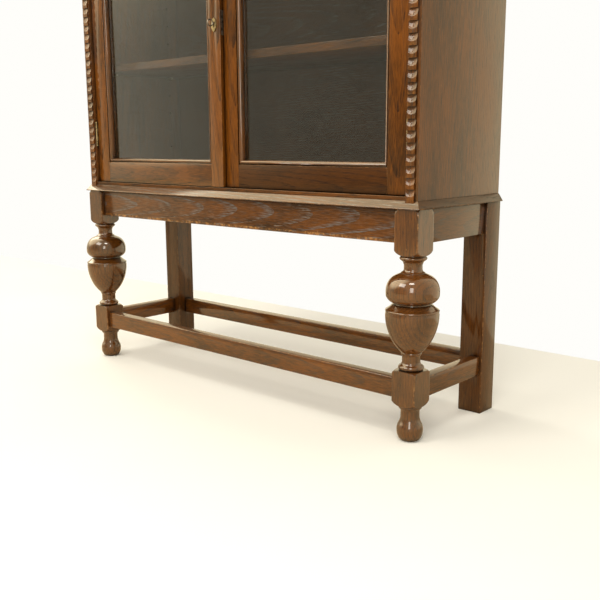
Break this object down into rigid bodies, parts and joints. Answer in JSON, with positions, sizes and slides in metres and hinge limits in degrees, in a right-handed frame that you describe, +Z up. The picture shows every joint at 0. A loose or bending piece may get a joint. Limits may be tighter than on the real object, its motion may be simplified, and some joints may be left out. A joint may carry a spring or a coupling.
{
  "type": "bookcase",
  "caption": "Dark oak glazed bookcase with double doors, adjustable shelves and carved front edges, on an open stand with cup-and-cover turned front legs joined by stretchers.",
  "frame": {"origin": "on the floor, under the middle of the whole object's box", "axes": "+Z up, +X to the right as one faces the doors, +Y from the doors to the back"},
  "size_m": [1.1718, 0.3533, 1.34],
  "materials": {
    "dark_oak": "dark stained oak, glossy worn varnish",
    "back_boarding": "stained thin boarding, dull",
    "glass": "clear flat glass",
    "brass": "aged brass",
    "steel": "dulled steel"
  },
  "bodies": {
    "carcase": {"front_leg_left": "dark_oak", "front_leg_right": "dark_oak", "back_leg_left": "dark_oak", "back_leg_right": "dark_oak", "front_apron": "dark_oak", "back_apron": "dark_oak", "side_apron_left": "dark_oak", "side_apron_right": "dark_oak", "front_stretcher": "dark_oak", "back_stretcher": "dark_oak", "side_stretcher_left": "dark_oak", "side_stretcher_right": "dark_oak", "corner_blocks": "dark_oak", "stand_screws": "steel", "waist_moulding_front": "dark_oak", "waist_moulding_left": "dark_oak", "waist_moulding_right": "dark_oak", "case_side_left": "dark_oak", "case_side_right": "dark_oak", "hanging_strip_left": "dark_oak", "hanging_strip_right": "dark_oak", "bottom_board": "dark_oak", "top_rail": "dark_oak", "back_panel": "back_boarding", "carved_strip_left": "dark_oak", "carved_strip_right": "dark_oak", "top_board": "dark_oak", "cornice_front": "dark_oak", "cornice_left": "dark_oak", "cornice_right": "dark_oak", "shelf_lower": "dark_oak", "shelf_upper": "dark_oak", "shelf_pegs": "brass", "hinge_case_leaves": "brass", "hinge_pins": "brass", "hinge_case_screws": "brass"},
    "left_door": {"left_door_hinge_stile": "dark_oak", "left_door_meeting_stile": "dark_oak", "left_door_top_rail": "dark_oak", "left_door_bottom_rail": "dark_oak", "left_door_glass": "glass", "left_door_moulding": "dark_oak", "left_door_beads": "dark_oak", "left_door_hinge_leaves": "brass", "left_door_hinge_screws": "brass", "lock_case": "steel", "escutcheon": "brass"},
    "right_door": {"right_door_hinge_stile": "dark_oak", "right_door_meeting_stile": "dark_oak", "right_door_top_rail": "dark_oak", "right_door_bottom_rail": "dark_oak", "right_door_glass": "glass", "right_door_moulding": "dark_oak", "right_door_beads": "dark_oak", "right_door_hinge_leaves": "brass", "right_door_hinge_screws": "brass", "bolt_plate": "brass"},
    "key": {"lock_key": "steel"},
    "lock_bolt": {"lock_bolt": "steel"},
    "door_bolt": {"bolt_rod": "brass"}
  },
  "joints": [
    {"name": "left_door_hinge", "type": "hinge", "parent": "carcase", "child": "left_door", "pos_m": [-0.52225, -0.13875, 0.885], "axis": [0, 0, -1], "range_deg": [-1.1, 108.9]},
    {"name": "right_door_hinge", "type": "hinge", "parent": "carcase", "child": "right_door", "pos_m": [0.52225, -0.13875, 0.885], "axis": [0, 0, 1], "range_deg": [0, 110]},
    {"name": "key_turn", "type": "hinge", "parent": "left_door", "child": "key", "pos_m": [-0.02126, -0.15687, 0.8865], "axis": [0.0192, 0.9998, 0], "range_deg": [0, 180]},
    {"name": "lock_bolt_throw", "type": "slide", "parent": "left_door", "child": "lock_bolt", "axis": [0.9998, -0.0192, 0], "range_m": [0, 0.007]},
    {"name": "door_bolt_slide", "type": "slide", "parent": "right_door", "child": "door_bolt", "axis": [0, 0, -1], "range_m": [0, 0.012]}
  ],
  "couplings": [
    {"joint": "lock_bolt_throw", "follows": "key_turn", "m_per_rad": 0.0022282}
  ]
}
